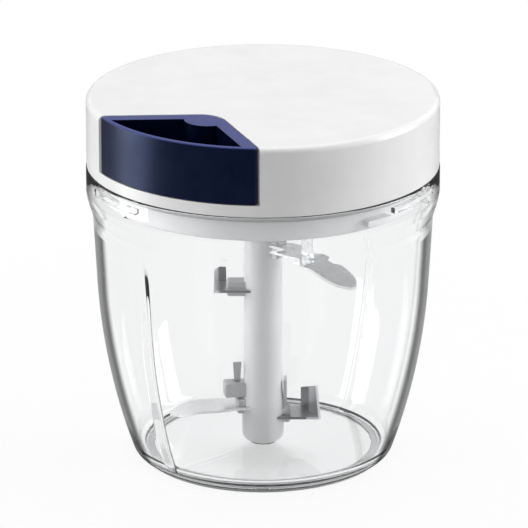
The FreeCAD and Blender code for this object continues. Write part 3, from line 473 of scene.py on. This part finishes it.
def rib_depth(azimuth, radius, z):
    """How far a rib stands in from the wall here, with a softened crest, foot and top."""
    if z > RIB_TOP_Z or z < FLOOR_Z:
        return 0.0
    off = min(abs((azimuth - a + 180) % 360 - 180) for a in RIB_AZIMUTHS)
    across = math.radians(off) * radius / RIB_HALF
    slope = 1.0 - math.sqrt(across ** 2 + 0.010)
    height = (slope + math.sqrt(slope ** 2 + 0.003)) / 2
    fade = min(1.0, max(0.0, (RIB_TOP_Z - z) / RIB_FADE))
    return RIB_HEIGHT * 1.1 * height * fade * fade * (3 - 2 * fade)


def ramp_depth(azimuth, z):
    """How far a bayonet ramp or its end stop stands in from the collar here."""
    for middle in RAMP_MIDDLES:
        off = (azimuth - middle + 180) % 360 - 180
        if RAMP_Z <= z <= RAMP_Z + RAMP_HEIGHT and abs(off) <= RAMP_SPAN / 2:
            return RAMP_REACH
        stop = off - (TWIST - RAMP_SPAN / 2)
        if RAMP_Z - STOP_DEPTH <= z <= RAMP_Z and 0 <= stop <= STOP_SPAN:
            return RAMP_REACH
    return 0.0


def bowl_azimuths():
    values = set(np.round(np.arange(0, 360, 1.0), 3))
    for a in RIB_AZIMUTHS:
        values |= {round((a + d) % 360, 3) for d in np.arange(-3.6, 3.61, 0.3)}
    for middle in RAMP_MIDDLES:
        stop = TWIST - RAMP_SPAN / 2
        for edge in (-RAMP_SPAN / 2, RAMP_SPAN / 2, stop, stop + STOP_SPAN):
            values |= {round((middle + edge + d) % 360, 3) for d in (-0.06, 0.06)}
    ordered = sorted(values)
    kept = [ordered[0]]
    for v in ordered[1:]:
        if v - kept[-1] > 0.08:
            kept.append(v)
    return kept


def build_bowl():
    line, rim = bowl_profile()
    azimuths = bowl_azimuths()
    vertices, rows = [], []
    for i, (r, z) in enumerate(line):
        if r < 1e-6:
            rows.append([len(vertices)] * len(azimuths))
            vertices.append((0.0, 0.0, z))
            continue
        row = []
        for azimuth in azimuths:
            radius = r
            if i > rim and r > 40.0:
                radius -= rib_depth(azimuth, r, z) + ramp_depth(azimuth, z)
            a = math.radians(azimuth)
            row.append(len(vertices))
            vertices.append((radius * math.cos(a), radius * math.sin(a), z))
        rows.append(row)
    faces = []
    count = len(azimuths)
    for i, (low, high) in enumerate(zip(rows, rows[1:])):
        if i == rim:
            outside = len(faces)
        for k in range(count):
            n = (k + 1) % count
            ring = [low[k], low[n], high[n], high[k]]
            face = [v for j, v in enumerate(ring) if v != ring[j - 1]]
            if len(face) > 2:
                faces.append(tuple(face))
    return vertices, faces, outside


bowl_vertices, bowl_faces, outside_faces = build_bowl()
bowl = new_piece("clear_bowl", bowl_vertices, bowl_faces, CLEAR, "bowl_body", "clear_plastic", ["bowl"], 50.0)
bowl.data.materials.append(CLEAR_INSIDE)
bowl.data.materials.append(CLEAR_COLLAR)
for face in bowl.data.polygons:
    if face.index >= outside_faces:
        face.material_index = 1
    elif face.center.z > (WAIST_Z - FLARE_ROUND_REACH) * MM:
        face.material_index = 2

# Cord

CORD_Z, CORD_R, CORD_SIDES = 126.8, 0.93, 20
CORD_INSIDE_Y, CORD_LEAVES_Y, CORD_ENTERS_Y, CORD_KNOT_Y = -31.6, -32.3, -32.45, -36.9


def build_drawn_cord():
    """Cord from the eyelet to the knot, hidden at rest."""
    stations = (CORD_INSIDE_Y, CORD_LEAVES_Y, CORD_ENTERS_Y, CORD_KNOT_Y)
    turns = [2 * math.pi * i / CORD_SIDES for i in range(CORD_SIDES)]
    vertices = [(CORD_R * math.cos(a), y, CORD_Z + CORD_R * math.sin(a)) for y in stations for a in turns]
    faces = [tuple(range(CORD_SIDES)), tuple(range(len(vertices) - 1, len(vertices) - CORD_SIDES - 1, -1))]
    for low in range(0, len(vertices) - CORD_SIDES, CORD_SIDES):
        for i in range(CORD_SIDES):
            n = (i + 1) % CORD_SIDES
            faces.append((low + i, low + CORD_SIDES + i, low + CORD_SIDES + n, low + n))
    return vertices, faces


drawn_cord = new_piece("drawn_cord", *build_drawn_cord(), CORD, None, "cord")
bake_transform(drawn_cord)

# Stage

scene = bpy.context.scene
scene.view_settings.view_transform = "Standard"
scene.cycles.use_denoising = True
scene.cycles.max_bounces = 20
scene.cycles.transmission_bounces = 16
scene.cycles.transparent_max_bounces = 16
scene.cycles.sample_clamp_indirect = 6.0

DIFFUSE_LEVEL, WALL_GLOSS, FLOOR_RADIUS = 0.37, 0.18, 0.32


def stage_floor():
    """Round pale table: it keeps the shadow near the object and fades to white further out."""
    depth, count = -0.00002, 96
    turns = [2 * math.pi * i / count for i in range(count)]
    rim = [(FLOOR_RADIUS * math.cos(a), FLOOR_RADIUS * math.sin(a), depth) for a in turns]
    mesh = bpy.data.meshes.new("floor")
    mesh.from_pydata(rim, [], [tuple(range(count))])
    material = bpy.data.materials.new("white_sweep")
    t = Tree(material)
    diffuse = t.add("ShaderNodeBsdfDiffuse", None, Color=(0.86, 0.86, 0.86, 1.0)).outputs[0]
    glow = t.add("ShaderNodeEmission", None, Color=(1.0, 1.0, 1.0, 1.0), Strength=1.0).outputs[0]
    light = t.add("ShaderNodeLightPath")
    seen = t.math("MAXIMUM", light.outputs["Is Camera Ray"], light.outputs["Is Transmission Ray"])
    mix = t.add("ShaderNodeMixShader")
    away = t.add("ShaderNodeVectorMath", {"operation": "LENGTH"})
    t.put(away.inputs[0], t.place())
    white = t.spread(away.outputs["Value"], FLOOR_RADIUS * 0.5, FLOOR_RADIUS * 0.95, 0.87, 1.0)
    t.put(mix.inputs[0], t.math("MULTIPLY", seen, white))
    t.put(mix.inputs[1], diffuse)
    t.put(mix.inputs[2], glow)
    t.finish(mix.outputs[0])
    mesh.materials.append(material)
    floor = bpy.data.objects.new("floor", mesh)
    scene.collection.objects.link(floor)


def studio_world():
    """White to the camera and through the bowl; to shiny faces a white ceiling over dim walls."""
    world = bpy.data.worlds.new("studio")
    scene.world = world
    t = Tree(world)
    light = t.add("ShaderNodeLightPath")
    direction = t.add("ShaderNodeTexCoord").outputs["Generated"]
    height = t.add("ShaderNodeSeparateXYZ", None, Vector=direction).outputs["Z"]
    ceiling = t.spread(height, 0.05, 0.45, WALL_GLOSS, 1.0)
    seen = t.math("MAXIMUM", light.outputs["Is Camera Ray"], light.outputs["Is Transmission Ray"])
    shiny = t.math("MULTIPLY", light.outputs["Is Glossy Ray"], t.math("SUBTRACT", 1.0, seen))
    level = t.spread(seen, 0.0, 1.0, DIFFUSE_LEVEL, 1.0)
    extra = t.math("MULTIPLY", shiny, t.math("SUBTRACT", ceiling, DIFFUSE_LEVEL))
    background = t.add("ShaderNodeBackground", None, Color=(1.0, 1.0, 1.0, 1.0),
                       Strength=t.math("ADD", level, extra))
    t.finish(background.outputs[0], "ShaderNodeOutputWorld")


def lamp(name, place, target, size, watts):
    data = bpy.data.lights.new(name, "AREA")
    data.shape = "RECTANGLE"
    data.size, data.size_y = size
    data.energy = watts
    light = bpy.data.objects.new(name, data)
    light.location = place
    light.rotation_euler = (Vector(target) - Vector(place)).to_track_quat("-Z", "Y").to_euler()
    scene.collection.objects.link(light)
    return light


CAMERA_AZIMUTH, CAMERA_HEIGHT = math.radians(33.5), math.radians(19.39)
TO_CAMERA = Vector((math.sin(CAMERA_AZIMUTH) * math.cos(CAMERA_HEIGHT),
                    -math.cos(CAMERA_AZIMUTH) * math.cos(CAMERA_HEIGHT), math.sin(CAMERA_HEIGHT)))
TO_RIGHT = Vector((math.cos(CAMERA_AZIMUTH), math.sin(CAMERA_AZIMUTH), 0.0))
FLAT_BACK = Vector((TO_CAMERA.x, TO_CAMERA.y, 0.0)).normalized()


def stage_camera():
    data = bpy.data.cameras.new("camera")
    data.lens, data.sensor_width = 324.2, 36.0
    data.clip_start, data.clip_end = 0.05, 20.0
    camera = bpy.data.objects.new("camera", data)
    aim = Vector((0, 0, 0.0746)) + TO_RIGHT * 0.00038
    camera.location = aim + TO_CAMERA * 1.8
    camera.rotation_euler = TO_CAMERA.to_track_quat("Z", "Y").to_euler()
    scene.collection.objects.link(camera)
    scene.camera = camera


SIDE_LAMP = (0.5, 0.9)
stage_floor()
studio_world()
lamp("top_softbox", -FLAT_BACK * 0.15 + Vector((0, 0, 1.2)), (0, 0, 0.1), (1.2, 1.2), 7.0)
lamp("left_softbox", -TO_RIGHT * 1.0 + Vector((0, 0, 0.22)), (0, 0, 0.08), SIDE_LAMP, 7.0)
lamp("right_softbox", TO_RIGHT * 1.0 - FLAT_BACK * 0.08 + Vector((0, 0, 0.40)), (0, 0, 0.08), SIDE_LAMP, 7.7)
stage_camera()

bpy.context.view_layer.update()
